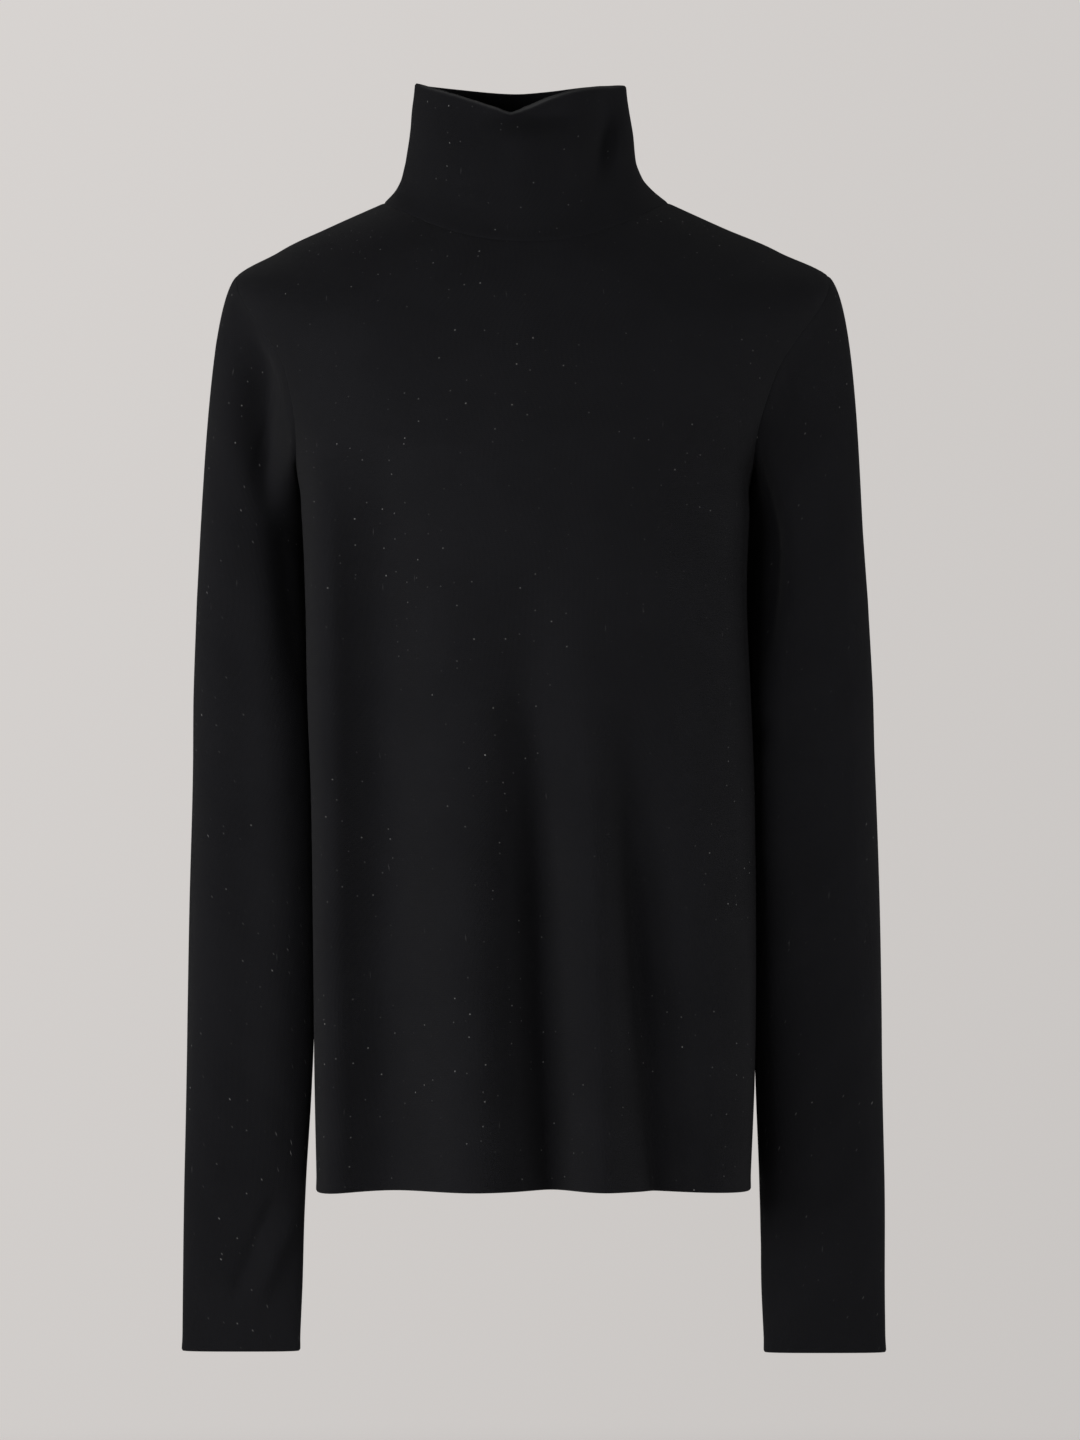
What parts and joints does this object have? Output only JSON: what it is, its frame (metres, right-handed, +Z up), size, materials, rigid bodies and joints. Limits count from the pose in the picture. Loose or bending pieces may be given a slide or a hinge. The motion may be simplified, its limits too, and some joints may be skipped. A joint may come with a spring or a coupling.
{
  "type": "turtleneck sweater",
  "caption": "Slim fine-knit turtleneck sweater with a tall standing collar and long set-in sleeves, filled out as worn with nobody in it.",
  "frame": {"origin": "foot of the neck, on the line through both side neck points, where the wearer's shoulders carry the sweater", "axes": "+Z up the neck, +X to the wearer's left, -Y to the front"},
  "size_m": [0.4097, 0.1971, 0.7357],
  "materials": {
    "fine_knit": "matte black fine-gauge plain knit with a faint nap and a few light fibre ends"
  },
  "bodies": {
    "root": {"front": "fine_knit", "back": "fine_knit", "sleeve_left": "fine_knit", "sleeve_right": "fine_knit", "collar": "fine_knit"}
  },
  "joints": []
}
